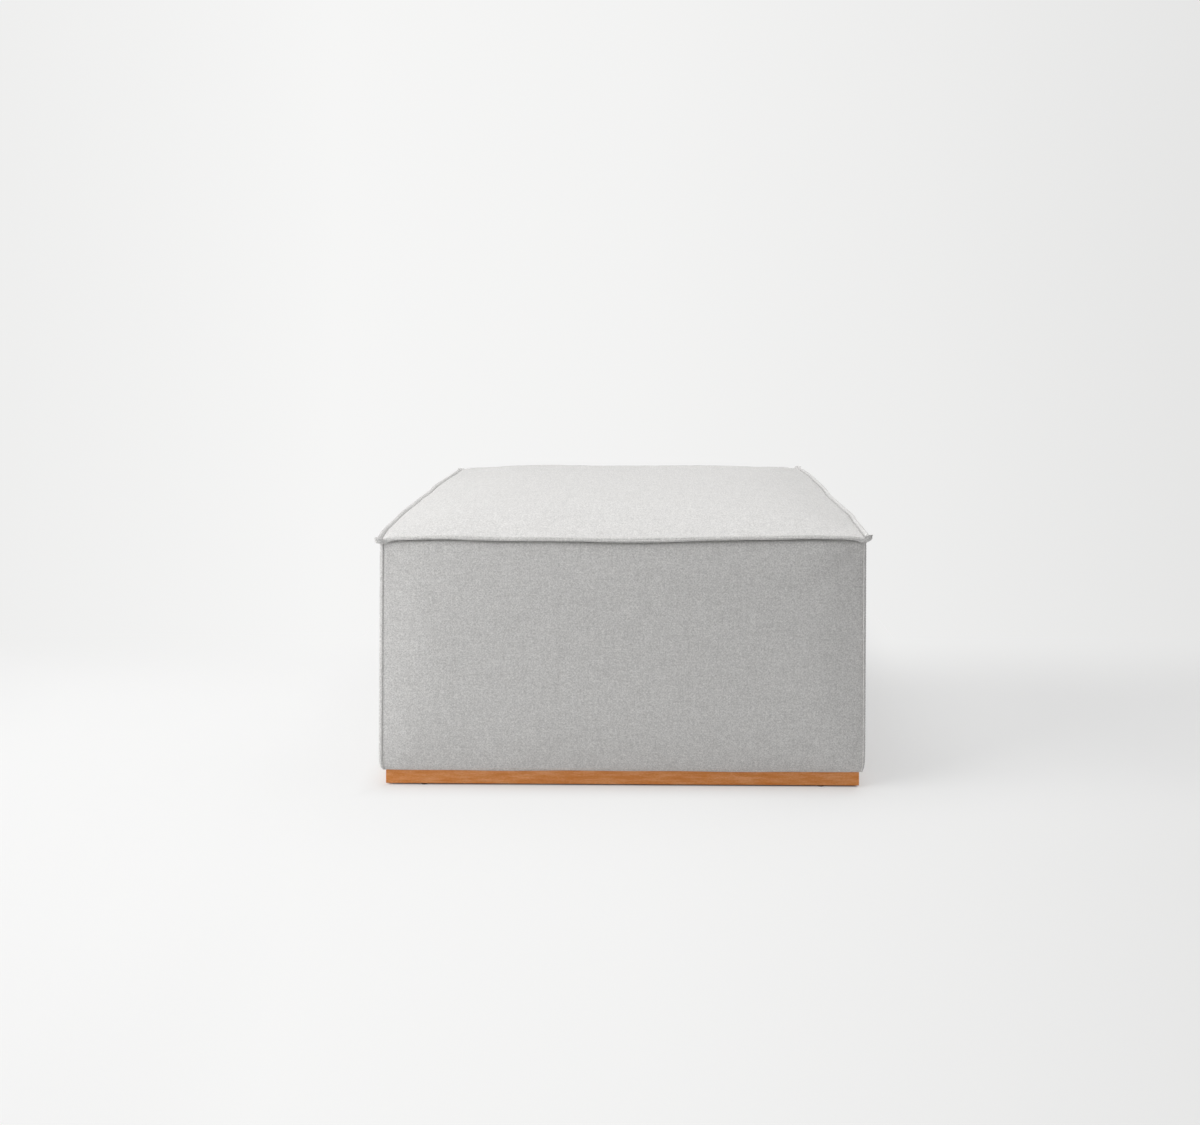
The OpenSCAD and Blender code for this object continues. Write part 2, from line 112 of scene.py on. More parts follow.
# Rises and dips of the front's top seam, in the same way
FRONT_WAVE = [
    (-1, 0), (-0.9, 0.0), (-0.76, 1.6), (-0.51, -0.8), (-0.265, -1.1), (-0.04, -3.2), (0.31, -1.1),
    (0.55, 0.2), (0.8, 1.2), (0.925, -0.3), (1, 0),
]
# How much the top seam rises from the middle to the right, and falls to the left
SEAM_LEAN = 3.0 * MM
# Waves of the other top seams: millimetres, radians from the middle to an end, and how much of
# the side's own shift is added
SEAM_WAVES = [(0.8, 7.1, 1.0), (0.5, 15.3, 2.3)]


# Shape of the sewn body


def swelling(a, run):
    """1 in the middle of a side and 0 at its ends, with a fall of about that length."""
    return 1 - np.abs(a) ** (HALF / run)


def curve(spots, a):
    """A smooth curve through spots, each a place and millimetres, read at places a."""
    a = np.asarray(a, float)
    places, heights = np.array(spots, float).T
    return resampled(heights, places, a.ravel(), 0).reshape(a.shape) * MM


def seam_wave(side, a):
    """Unevenness of the top seam along a side, nothing at its corners."""
    if side == "front":
        return curve(FRONT_WAVE, a)
    shift = SIDES.index(side) * 1.9
    wave = sum(height * np.sin(turns * a + share * shift) for height, turns, share in SEAM_WAVES)
    return wave * MM * (1 - a**10)


def seam_lean(x):
    """The top seam is a little higher on the right than on the left."""
    return SEAM_LEAN * x / HALF


def seam_bow(side, a):
    """How far the top seam stands out at a along a side, nothing at its corners."""
    return curve(SEAM_BOW[side], a)


def rightward(side, a):
    """The place from left to right, -1 to 1, of a along a side."""
    return {"front": a, "right": 1 + 0 * a, "rear": -a, "left": -1 + 0 * a}[side]


def seam_z(side, a):
    drop = CORNER_DROP * np.abs(a) ** (HALF / DROP_W)
    return SEAM_H - drop + seam_wave(side, a) + seam_lean(rightward(side, a) * HALF)


def top_points(a, b):
    """The middle of the top panel's cloth at a across and b along, both from -1 to 1."""
    a, b = np.broadcast_arrays(a, b)
    near_x, near_y = np.abs(a) ** (HALF / SHOULDER_W), np.abs(b) ** (HALF / SHOULDER_W)
    z = SEAM_H - CORNER_DROP * (np.abs(a) * np.abs(b)) ** (HALF / DROP_W)
    z = z + SHOULDER_H * (1 - near_x) * (1 - near_y) + DOME_H * (1 - a * a) * (1 - b * b)
    z = z + np.where(b < 0, seam_wave("front", a), seam_wave("rear", -a)) * near_y
    z = z + np.where(a > 0, seam_wave("right", b), seam_wave("left", -b)) * near_x
    z = z + seam_lean(a * HALF) * (1 - (1 - near_x) * (1 - near_y))
    x = a * (HALF + np.where(a > 0, seam_bow("right", b), seam_bow("left", -b)))
    y = b * (HALF + np.where(b > 0, seam_bow("rear", -a), seam_bow("front", a)))
    return np.stack([x, y, z], -1)


def place(side, s, out, z):
    """Points s along a side, seen from outside, out from the middle and z high."""
    turn = SIDES.index(side) * math.pi / 2
    s, out, z = np.broadcast_arrays(s, out, z)
    x = s * math.cos(turn) + out * math.sin(turn)
    y = s * math.sin(turn) - out * math.cos(turn)
    return np.stack([x, y, z], -1)


def side_points(side, a, row):
    """The outer face of a side panel at a along it.

    Row is 0 at the seam, 1 and 2 at the ends of the roll, and 3 at the hem's edge.
    """
    top = seam_z(side, a)
    fall = np.clip(row, 0, 1)
    z = top + (ROLL_Z - top) * fall
    turn = np.clip(row - 1, 0, 1) * math.pi / 2
    v = 1 - 2 * fall
    tuck = TUCK_W * (1 + (1 - np.minimum(a * a, 1)) ** 2)
    rise = np.abs(v) ** ((top - ROLL_Z) / 2 / np.where(v > 0, tuck, SWELL_W))
    share = np.where(v > 0, 1 - rise, 1 - (1 - ROLL_SWELL) * rise)
    swell = SIDE_SWELL * swelling(a, SWELL_W) * share
    out = -ROLL_IN * (1 - np.cos(turn)) - np.clip(row - 2, 0, 1) * (HEM_W - ROLL_IN)
    z = z - ROLL_H * np.sin(turn)
    lip = hem_wave(side, a) * np.clip(row - 1, 0, 1) * np.clip(5 - 2 * row, 0, 1)
    bow = seam_bow(side, a) * (1 - fall**1.5)
    return place(side, a * (HALF + out), HALF + out + bow + swell * np.cos(turn), z + lip)


def hem_wave(side, a):
    """Unevenness of the fold under a side, nothing at its corners."""
    shift = SIDES.index(side) * 2.7
    wave = np.sin(9.2 * a + shift) * np.sin(4.1 * a + 0.6 * shift)
    return 0.8 * MM * (wave - 0.7) * (1 - a**8)


def side_rows(finished):
    """The rows of a side panel's grid, coarse for the simulation or finer when finished."""
    finer = 2 if finished else 1
    face = np.linspace(0, 1, FACE_ROWS * finer + 1)[:-1]
    if finished:
        face = np.sort(np.concatenate([face, NEAR_SEAM / (SEAM_H - ROLL_Z)]))
    return np.concatenate([
        face,
        np.linspace(1, 2, ROLL_ROWS * finer + 1)[:-1],
        np.linspace(2, 3, HEM_ROWS * finer + 1),
    ])


def columns(finished):
    """The columns of a panel's grid, from -1 to 1, and the rows of the top's."""
    if not finished:
        return np.linspace(-1, 1, ACROSS + 1)
    extra = 1 - NEAR_SEAM / HALF
    return np.sort(np.concatenate([np.linspace(-1, 1, ACROSS * 2 + 1), extra, -extra]))


def panel_points(panel, finished):
    """A panel's grid of points. A side's rows run down from its seam, the top's from its front."""
    a = columns(finished)
    if panel == "top":
        return top_points(a[None, :], a[:, None])
    return side_points(panel, a[None, :], side_rows(finished)[:, None])


# Meshes


def added(name, bm):
    """Puts a mesh into the scene."""
    mesh = bpy.data.meshes.new(name)
    bm.to_mesh(mesh)
    bm.free()
    made = bpy.data.objects.new(name, mesh)
    scene.collection.objects.link(made)
    return made


def fresh(name, bm, material):
    """Makes a piece of the mesh, fixed to the frame."""
    piece = added(name, bm)
    piece.data.shade_smooth()
    piece.data.materials.append(material)
    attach(piece, "root")
    return piece


def thicken(piece, thickness, offset):
    """Makes a sheet as thick as that, and returns the modifier."""
    wall = piece.modifiers.new("Thickness", "SOLIDIFY")
    wall.thickness, wall.offset = thickness, offset
    return wall


def grid_into(bm, points, cloth=None):
    """Adds a grid through rows of points, with the cloth's own coordinates as its UV map."""
    rows, cols = points.shape[:2]
    made = bmesh.ops.create_grid(bm, x_segments=cols - 1, y_segments=rows - 1, size=1)["verts"]
    for vert, point in zip(made, points.reshape(-1, 3)):
        vert.co = point
    if cloth is not None:
        layer = bm.loops.layers.uv.get("Cloth") or bm.loops.layers.uv.new("Cloth")
        spots = dict(zip(made, cloth.reshape(-1, 2)))
        for face in {f for v in made for f in v.link_faces}:
            for loop in face.loops:
                loop[layer].uv = spots[loop.vert]
    return made


def normals_of(points):
    """Unit normals of a grid of points, to the left of its rows as they go up."""
    across = np.gradient(points, axis=1)
    along = np.gradient(points, axis=0)
    n = np.cross(across, along)
    return n / np.maximum(np.linalg.norm(n, axis=-1, keepdims=True), 1e-12)


def resampled(grid, places, wanted, axis):
    """A grid's values along one axis, read at other places of it by a smooth curve."""
    g = np.moveaxis(grid, axis, 0)
    slope = np.gradient(g, places, axis=0)
    k = np.clip(np.searchsorted(places, wanted) - 1, 0, len(places) - 2)
    step = places[k + 1] - places[k]
    t = ((wanted - places[k]) / step).reshape((-1,) + (1,) * (g.ndim - 1))
    step = step.reshape(t.shape)
    made = (2 * t**3 - 3 * t**2 + 1) * g[k] + (t**3 - 2 * t**2 + t) * step * slope[k]
    made = made + (3 * t**2 - 2 * t**3) * g[k + 1] + (t**3 - t**2) * step * slope[k + 1]
    return np.moveaxis(made, 0, axis)


def lengths_along(path):
    """How far along a path each of its points lies."""
    steps = np.linalg.norm(np.diff(path, axis=0), axis=1)
    return np.concatenate([[0], steps.cumsum()])


def cloth_spots(points):
    """The cloth's coordinates in metres, by the lengths of its middle row and column."""
    rows, cols = points.shape[:2]
    u, v = lengths_along(points[rows // 2]), lengths_along(points[:, cols // 2])
    return np.stack(np.broadcast_arrays(u[None, :] - u[-1] / 2, v[:, None]), -1)


def soft_noise(points, size, seed):
    """Smooth noise from -1 to 1 at each point of a grid, with lumps of that size in metres."""
    flat = points.reshape(-1, 3) / size + seed * 17.3
    return np.array([noise.noise(p) for p in flat]).reshape(points.shape[:-1])


# Simulation of the cover

# Light, springy cloth, blown up a little and cut a trifle too large
CLOTH_SETTINGS = {
    "quality": 6, "mass": 0.3, "tension_stiffness": 30, "compression_stiffness": 30,
    "shear_stiffness": 10, "bending_stiffness": 0.5, "use_pressure": True,
    "uniform_pressure_force": 1, "shrink_min": -0.0005, "vertex_group_mass": "held",
    "pin_stiffness": 1,
}
SETTLING_FRAMES = 20


def settled():
    """Blows the sewn cover up a little with its seams held, and returns each panel's movement."""
    rest = {panel: panel_points(panel, False) for panel in PANELS}
    trial = sewn_together(rest)
    before = np.array([v.co for v in trial.data.vertices])
    hold = set()
    for panel, points in rest.items():
        hold.update(keys_of(points[held_spots(panel, points)]))
    held = trial.vertex_groups.new(name="held")
    held.add([k for k, spot in enumerate(keys_of(before)) if spot in hold], 1.0, "REPLACE")
    cloth = trial.modifiers.new("Settle", "CLOTH")
    for name, value in CLOTH_SETTINGS.items():
        setattr(cloth.settings, name, value)
    cloth.settings.effector_weights.gravity = 0
    cloth.collision_settings.use_collision = False
    cloth.collision_settings.use_self_collision = False
    for number in range(1, SETTLING_FRAMES + 1):
        scene.frame_set(number)
    seen = trial.evaluated_get(bpy.context.evaluated_depsgraph_get())
    after = np.array([v.co for v in seen.to_mesh().vertices])
    moved = dict(zip(keys_of(before), after - before))
    bpy.data.objects.remove(trial)
    scene.frame_set(1)
    moves = {}
    for panel, points in rest.items():
        shifts = [moved.get(spot, np.zeros(3)) for spot in keys_of(points)]
        moves[panel] = np.array(shifts).reshape(points.shape)
    return moves


def sewn_together(panels):
    """The panels' grids in one mesh, joined at their seams."""
    bm = bmesh.new()
    for panel, points in panels.items():
        grid_into(bm, points[::-1] if panel != "top" else points)
    bmesh.ops.remove_doubles(bm, verts=bm.verts, dist=0.01 * MM)
    return added("cover_trial", bm)


def keys_of(points):
    """Each point's place to a tenth of a millimetre, by which shared points are found."""
    return [tuple(spot) for spot in np.round(points.reshape(-1, 3) / MM, 1) + 0.0]


def held_spots(panel, points):
    """Where a panel is held: along its seams, and from the roll under the frame."""
    held = np.zeros(points.shape[:2], bool)
    held[0] = held[:, 0] = held[:, -1] = True
    if panel == "top":
        held[-1] = True
    else:
        held |= points[..., 2] < HEM_Z + 0.6 * ROLL_H
    return held


def capped(move, cap):
    """Movement eased off so that it never passes the cap."""
    length = np.linalg.norm(move, axis=-1, keepdims=True)
    return move * (cap * np.tanh(length / cap) / np.maximum(length, 1e-9))


# Shader nodes


def math_node(operation, swapped=False):
    """A method of Wire that adds a Math node, with its own value first unless swapped."""
    def method(self, *others):
        sockets = dict(enumerate((*others, self) if swapped else (self, *others)))
        return self.finish.node("Math", {"operation": operation}, sockets)
    return method


class Wire:
    """A value or colour in a material's nodes. Arithmetic on it adds Math nodes."""

    def __init__(self, finish, socket):
        self.finish, self.socket = finish, socket

    __add__, __radd__ = math_node("ADD"), math_node("ADD", swapped=True)
    __sub__, __rsub__ = math_node("SUBTRACT"), math_node("SUBTRACT", swapped=True)
    __mul__, __rmul__ = math_node("MULTIPLY"), math_node("MULTIPLY", swapped=True)
    __truediv__, __rtruediv__ = math_node("DIVIDE"), math_node("DIVIDE", swapped=True)
    floor, cosine, size = math_node("FLOOR"), math_node("COSINE"), math_node("ABSOLUTE")
    power, above, most = math_node("POWER"), math_node("GREATER_THAN"), math_node("MAXIMUM")

    def eased(self, start, end):
        """0 before the start and 1 past the end, with a smooth rise between."""
        sockets = {"Value": self, "From Min": start, "From Max": end}
        return self.finish.node("MapRange", {"interpolation_type": "SMOOTHSTEP"}, sockets)


class Finish:
    """A material made of nodes. The unchanging sockets of its shader are set directly."""

    def __init__(self, name, tree=None, **fixed):
        if tree is not None:
            self.tree = tree
            self.tree.nodes.clear()
            return
        self.material = bpy.data.materials.new(name)
        self.material.use_nodes = True
        self.tree = self.material.node_tree
        self.tree.nodes.clear()
        self.shader = self.tree.nodes.new("ShaderNodeBsdfPrincipled")
        output = self.tree.nodes.new("ShaderNodeOutputMaterial")
        output.name = "Material Output"
        self.tree.links.new(self.shader.outputs[0], output.inputs["Surface"])
        for socket, value in fixed.items():
            self.shader.inputs[socket.replace("_", " ")].default_value = value

    def node(self, kind, settings=None, sockets=None, output=0):
        made = self.tree.nodes.new("ShaderNode" + kind)
        for name, value in (settings or {}).items():
            if name == "stops":
                ramp = made.color_ramp
                while len(ramp.elements) < len(value):
                    ramp.elements.new(0.5)
                for element, (position, color) in zip(ramp.elements, value):
                    element.position, element.color = position, rgb(color)
            else:
                setattr(made, name, value)
        for name, value in (sockets or {}).items():
            if isinstance(value, Wire):
                self.tree.links.new(value.socket, made.inputs[name])
            else:
                made.inputs[name].default_value = value
        return Wire(self, made.outputs[output])

    def set(self, **links):
        for socket, wire in links.items():
            self.tree.links.new(wire.socket, self.shader.inputs[socket.replace("_", " ")])
        return self

    def finished(self, color, roughness, height, depth, strength):
        """The material, with bumps as deep as that in millimetres."""
        sockets = {"Height": height, "Distance": depth * MM, "Strength": strength}
        bump = self.node("Bump", {}, sockets)
        return self.set(Base_Color=color, Roughness=roughness, Normal=bump).material

    def place(self, scale=(1, 1, 1), where="Object", turn=(0, 0, 0)):
        """Coordinates of the piece, scaled: Object for solids, or the cloth's own map."""
        if where == "Cloth":
            spot = self.node("UVMap", {"uv_map": "Cloth"})
        else:
            spot = self.node("TexCoord", output=where)
        sockets = {"Vector": spot, "Scale": scale, "Rotation": turn}
        return self.node("Mapping", {}, sockets)

    def noise(self, vector, scale, detail, roughness):
        sockets = {"Vector": vector, "Scale": scale, "Detail": detail, "Roughness": roughness}
        return self.node("TexNoise", {}, sockets)

    def parts(self, vector):
        split = self.node("SeparateXYZ", {}, {"Vector": vector}).socket.node
        return [Wire(self, s) for s in split.outputs]

    def mixed(self, factor, first, second):
        """A colour between two, each a wire or the values that a screen shows."""
        mix = self.node("Mix", {"data_type": "RGBA"}, {"Factor": factor}).socket.node
        for socket, value in zip([s for s in mix.inputs if s.type == "RGBA"], (first, second)):
            if isinstance(value, Wire):
                self.tree.links.new(value.socket, socket)
            else:
                socket.default_value = rgb(value)
        return Wire(self, next(s for s in mix.outputs if s.type == "RGBA"))

    def ramp(self, factor, stops):
        return self.node("ValToRGB", {"stops": stops}, {"Fac": factor})

    def waves(self, way, pitch):
        """Waves from -1 to 1 along a way, one in each pitch."""
        return (way * (2 * math.pi / pitch)).cosine()


def rgb(shown):
    """A linear colour from the three values, 0 to 255, that a screen shows."""
    def linear(value):
        value /= 255
        return value / 12.92 if value <= 0.04045 else ((value + 0.055) / 1.055) ** 2.4
    return (*map(linear, shown), 1)


# Finishes


YARN_PITCH = 1.5 * MM
# The colour of the painted shade in the gaps between the yarns
YARN_GAP_PAINTED_SHADE = (132, 131, 129)


def woven_fabric(name="cover_fabric", where="Cloth", light=(223, 222, 220), dark=(181, 180, 179)):
    """Plain weave of mixed light and dark grey yarns, with painted shade in the gaps between them.
    """
    f = Finish(name, Sheen_Weight=0.12, Sheen_Roughness=0.45, Specular_IOR_Level=0.25)

    def uneven(x, y, z):
        return f.noise(f.node("CombineXYZ", {}, {"X": x, "Y": y, "Z": z}), 1, 1, 0.5)

    u, v, _ = f.parts(f.place((1 / YARN_PITCH,) * 3, where))
    column, row = u.floor(), v.floor()
    warp_over = ((v - 0.5 + column) * math.pi).cosine()
    weft_over = ((u - 0.5 + row) * math.pi).cosine() * -1
    warp_round = 1 - ((u - column) * 2 - 1).power(2)
    weft_round = 1 - ((v - row) * 2 - 1).power(2)
    warp = warp_round * 0.55 + warp_over * 0.5
    weft = weft_round * 0.55 + weft_over * 0.5
    on_top = warp.above(weft)
    warp_tone = uneven(column * 7.31, v * 0.45, 3)
    weft_tone = uneven(u * 0.45, row * 7.31, 9)
    tone = warp_tone * on_top + weft_tone * (1 - on_top)
    crossed = warp_tone * 0.5 + weft_tone * 0.5
    slubs = uneven(column * 3.17, v * 0.035, 5) * 0.5 + uneven(u * 0.035, row * 3.17, 7) * 0.5
    patches = f.noise(f.place(where=where), 40, 1, 0.5)
    mixed = (tone - 0.5) * 1.4 + (crossed - 0.5) * 1.4
    mixed = mixed + (slubs - 0.5) * 0.8 + (patches - 0.5) * 0.12 + 0.5
    height = warp.most(weft)
    middle = [(a + b) / 2 for a, b in zip(light, dark)]
    color = f.ramp(mixed, [(0.05, dark), (0.5, middle), (0.95, light)])
    # Painted shade: the colour darkens where the yarns lie low, in the gaps between them
    shaded = f.mixed((0.55 - height) * 0.45, color, YARN_GAP_PAINTED_SHADE)
    fuzz = f.noise(f.place(where=where), 900, 2, 0.7)
    return f.finished(shaded, 0.86 + tone * 0.12, height + fuzz * 0.3 + tone * 0.35, 0.22, 0.8)


def oiled_wood(name, turn):
    """Orange-brown hardwood with fine grain along X before it is turned."""
    f = Finish(name, Coat_Weight=0.12, Coat_Roughness=0.35, Specular_IOR_Level=0.4)
    bands = f.noise(f.place((1, 7, 7), turn=turn), 24, 4, 0.6)
    grain = f.noise(f.place((1, 16, 16), turn=turn), 55, 5, 0.65)
    flecks = f.noise(f.place((1, 4, 4), turn=turn), 230, 3, 0.6)
    pores = f.noise(f.place((1, 9, 9), turn=turn), 210, 2, 0.5)
    tone = (bands - 0.5) * 0.8 + (grain - 0.5) * 0.6 + (flecks - 0.5) * 0.6 + 0.5
    color = f.ramp(tone, [(0.28, (203, 117, 40)), (0.44, (211, 132, 62)),
                          (0.56, (219, 145, 82)), (0.72, (228, 163, 111))])
    pitted = f.mixed((pores - 0.60) * 3.0, color, (160, 92, 42))
    return f.finished(pitted, 0.42 + grain * 0.22, grain * 0.7 + pores * 0.5, 0.12, 0.6)


def planed_timber(name, turn):
    """Pale softwood with wide growth rings along X before it is turned."""
    f = Finish(name, Specular_IOR_Level=0.3)
    rings = f.noise(f.place((0.6, 9, 9), turn=turn), 6, 3, 0.5)
    lines = (rings * 70).cosine() * 0.5 + 0.5
    fibres = f.noise(f.place((1, 30, 30), turn=turn), 30, 4, 0.6)
    color = f.mixed(lines * 0.55 + (fibres - 0.5) * 0.6, (222, 192, 146), (190, 150, 100))
    return f.finished(color, 0.6 + fibres * 0.2, fibres + lines * 0.3, 0.15, 0.6)


def plywood():
    """Sanded birch faces with the plies showing on the edges."""
    f = Finish("plywood", Specular_IOR_Level=0.3)
    _, _, z = f.parts(f.place())
    plies = f.waves(z, 2.8 * MM).above(0.0)
    fibres = f.noise(f.place((1, 8, 8)), 45, 4, 0.6)
    upright = f.parts(f.node("TexCoord", output="Normal"))[2].size()
    edge = 1 - upright.above(0.5)
    face = f.mixed(fibres, (224, 196, 152), (196, 160, 112))
    color = f.mixed(plies * edge * 0.7, face, (140, 98, 60))
    return f.finished(color, 0.55 + fibres * 0.2, fibres, 0.1, 0.6)


def hardboard():
    """Smooth brown pressed fibre."""
    f = Finish("hardboard", Specular_IOR_Level=0.4)
    fibres = f.noise(f.place(), 260, 4, 0.7)
    clouds = f.noise(f.place(), 14, 3, 0.5)
    color = f.mixed(fibres * 0.7 + clouds * 0.3, (92, 60, 38), (146, 102, 68))
    return f.finished(color, 0.45 + fibres * 0.3, fibres, 0.08, 0.6)


def strap_webbing():
    """Ribbed elastic webbing, with its own map: along it in u, across in v."""
    f = Finish("webbing", Sheen_Weight=0.1, Specular_IOR_Level=0.25)
    u, v, _ = f.parts(f.place(where="Cloth"))
    ribs = f.waves(u, 2.4 * MM) * 0.5 + 0.5
    cords = f.waves(v, 3.1 * MM) * 0.5 + 0.5
    stripe = 1 - ((v.size() - 15 * MM).size() * (1 / (2.2 * MM))).above(1.0)
    wear = f.noise(f.place(where="Cloth"), 160, 3, 0.6)
    base = f.mixed(ribs * 0.5 + wear * 0.5, (120, 98, 68), (186, 162, 122))
    color = f.mixed(stripe * 0.75, base, (70, 60, 52))
    return f.finished(color, 0.75 + wear * 0.2, ribs * 0.6 + cords * 0.3 + wear * 0.3, 0.35, 0.8)


def cut_foam(name, light, dark):
    """Open-cell foam with fine pores."""
    f = Finish(name, Specular_IOR_Level=0.15)
    cells = f.node("TexVoronoi", {}, {"Vector": f.place(), "Scale": 620.0}, "Distance")
    clouds = f.noise(f.place(), 18, 3, 0.5)
    color = f.mixed(cells * 0.9 + (clouds - 0.5) * 0.4, dark, light)
    return f.finished(color, 0.85 + clouds * 0.1, cells, 0.6, 0.7)


def fibre_wadding():
    """Fluffy polyester wadding."""
    f = Finish("wadding", Sheen_Weight=0.3, Specular_IOR_Level=0.1)
    strands = f.noise(f.place((1, 3, 1)), 120, 6, 0.75)
    crossed = f.noise(f.place((3, 1, 1)), 95, 6, 0.75)
    fluff = strands * 0.5 + crossed * 0.5
    color = f.mixed(fluff, (224, 224, 220), (247, 247, 244))
    return f.finished(color, 0.88 + fluff * 0.1, fluff, 1.2, 0.8)


def dust_cloth():
    """Black non-woven cloth with a bonded diamond print."""
    f = Finish("dust_cloth", Specular_IOR_Level=0.3)
    x, y, _ = f.parts(f.place())
    dots = f.waves(x + y, 2.6 * MM) * f.waves(x - y, 2.6 * MM)
    fibres = f.noise(f.place(), 480, 4, 0.7)
    color = f.mixed(fibres * 0.8 + dots.above(0.5) * 0.2, (22, 22, 23), (58, 58, 59))
    return f.finished(color, 0.6 + fibres * 0.3, dots * 0.4 + fibres, 0.15, 0.7)


def moulded_plastic():
    """Black nylon with a faint moulded texture and scuffs."""
    f = Finish("glide_plastic", Specular_IOR_Level=0.45)
    grit = f.noise(f.place(), 900, 3, 0.6)
    scuffs = f.noise(f.place((1, 6, 1)), 130, 4, 0.6)
    color = f.mixed((scuffs - 0.45) * 1.2, (30, 30, 31), (74, 73, 72))
    return f.finished(color, 0.38 + grit * 0.3, grit, 0.05, 0.6)


def plated_steel():
    """Zinc-plated steel with a faintly mottled passivation."""
    f = Finish("screw_steel", Metallic=1.0)
    mottle = f.noise(f.place(), 180, 3, 0.6)
    fine = f.noise(f.place((1, 1, 5)), 700, 3, 0.6)
    color = f.mixed(mottle, (176, 178, 176), (206, 204, 192))
    return f.finished(color, 0.28 + mottle * 0.25, fine, 0.03, 0.5)


# Pieces


# The most that the simulation may move a panel, and how far from a seam it moves freely
MOST_MOVE = {"top": 2.5 * MM, "side": 2.4 * MM}
FREE_FROM_SEAM = 14


def cover_panels(moves, fabric):
    """The five sewn panels of the cover, with their hems and small puckers along the seams."""
    shapes = {}
    for panel in PANELS:
        is_top = panel == "top"
        points = panel_points(panel, True)
        rows = [columns(done) if is_top else side_rows(done) for done in (False, True)]
        move = capped(moves[panel], MOST_MOVE["top" if is_top else "side"])
        move = resampled(resampled(move, *rows, 0), columns(False), columns(True), 1)
        free = 1 - np.exp(-((seam_distance(panel) / FREE_FROM_SEAM) ** 2))
        points = points + move * free[..., None]
        out = normals_of(points) * (1 if is_top else -1)
        points = points + out * (FABRIC_T / 2 + EDGE_RISE if is_top else 0)
        points = points + out * (lumps(panel, points) * MM)[..., None]
        shapes[panel] = points
        grid = points if is_top else points[::-1]
        bm = bmesh.new()
        grid_into(bm, grid, cloth_spots(grid))
        piece = fresh("cover_" + panel + "_cloth", bm, fabric)
        thicken(piece, FABRIC_T, -1).use_even_offset = True
        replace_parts(piece, "cover_" + panel)
    return shapes


def corner_distance():
    """Millimetres from each column of a panel's grid to its nearest end."""
    return (1 - np.abs(columns(True))[None, :]) * HALF / MM


def seam_drop():
    """Millimetres from the top seam down to each row of a side's grid, no further than the roll."""
    return np.clip(side_rows(True)[:, None], 0, 1) * (SEAM_H - ROLL_Z) / MM


def seam_distance(panel):
    """Millimetres from each point of a panel's grid to its nearest seam."""
    to_corner = corner_distance()
    return np.minimum(to_corner, to_corner.T if panel == "top" else seam_drop())


# Soft unevenness of the cloth: millimetres, size of the lumps in metres, and which noise
SOFT_LUMPS = [(0.5, 0.16, 3), (0.22, 0.06, 5)]
# Puckers at the seams: the same, and the millimetres in which they fade
PUCKERS = [(0.5, 0.018, 8, 16), (0.3, 0.035, 11, 40)]
# Grooves along the top seam, in millimetres: how deep and how wide
TOP_GROOVE, TOP_GROOVE_SIDE_W, TOP_GROOVE_FRONT_W = 4.0, 1.2, 1.7
SIDE_GROOVE, SIDE_GROOVE_W = 4.2, 4.8


def lumps(panel, points):
    """Millimetres that a panel's face stands out by.

    It has soft unevenness, a groove along the top seam, and puckers that fade from the seams.
    """
    to_seam = seam_distance(panel)
    to_corner = corner_distance()
    soft = sum(height * soft_noise(points, size, seed) for height, size, seed in SOFT_LUMPS)
    if panel == "top":
        near = np.minimum(to_corner / TOP_GROOVE_SIDE_W, to_corner.T / TOP_GROOVE_FRONT_W)
        groove = TOP_GROOVE * np.exp(-(near**2))
        hold = 1 - np.exp(-to_seam / 12)
    else:
        groove = SIDE_GROOVE * np.exp(-((seam_drop() / SIDE_GROOVE_W) ** 2))
        groove = groove * (1 - np.exp(-to_corner / 6))
        hold = (1 - np.exp(-to_seam / 10)) * np.clip(2 - side_rows(True)[:, None], 0, 1)
    pucker = sum(height * soft_noise(points, size, seed) * np.exp(-to_seam / fade)
                 for height, size, seed, fade in PUCKERS)
    return (soft + pucker) * hold - groove


# The share of a side at each end where the flange's places lie closer, towards the corner
NEAR_CORNER = 0.02


def flange_ring():
    """Places along the top seam, each a side and where on it from -1 to 1."""
    ring = []
    for side in SIDES:
        steps = np.concatenate([
            -1 + NEAR_CORNER * np.linspace(0, 1, 9)[:-1] ** 1.3,
            np.linspace(NEAR_CORNER - 1, 1 - NEAR_CORNER, 197),
            1 - NEAR_CORNER * np.linspace(1, 0, 9)[1:-1] ** 1.3,
        ])
        ring += [(side, float(a)) for a in steps]
    return ring


# Section of the top flange: out from the seam and up, as shares of its width and thickness
FLANGE_SECTION = np.array([
    (-0.25, -0.34), (0.00, -0.38), (0.18, -0.44), (0.36, -0.54), (0.58, -0.66), (0.76, -0.74),
    (0.88, -0.70), (0.93, -0.42), (0.945, -0.08), (0.92, 0.00), (0.955, 0.09), (0.985, 0.42),
    (0.985, 0.66), (0.91, 0.78), (0.72, 0.68), (0.50, 0.44), (0.34, 0.12), (0.22, -0.16),
    (0.12, -0.22), (0.00, -0.22), (-0.25, -0.22), (-0.25, -0.34),
])
# The same section where the flange has rolled up
ROLLED_SECTION = np.array([
    (-0.25, -0.43), (0.00, -0.47), (0.18, -0.50), (0.36, -0.57), (0.58, -0.63), (0.78, -0.53),
    (0.92, -0.30), (0.99, -0.03), (1.02, 0.20), (1.00, 0.27), (1.01, 0.37), (0.98, 0.63),
    (0.90, 0.87), (0.78, 1.03), (0.62, 1.13), (0.45, 1.10), (0.31, 0.88), (0.20, 0.38),
    (0.14, -0.28), (0.00, -0.40), (-0.25, -0.37), (-0.25, -0.43),
])
# Points of the section: where it is stitched down, and the middle of its edge
STITCHED_AT, EDGE_AT = 18, 8
# A place of the ring where the section is plain
PLAIN_AT = 50
# Degrees by which the flange turns up along each side
FLANGE_LEAN = {"front": 0, "right": 14, "rear": 12, "left": 14}
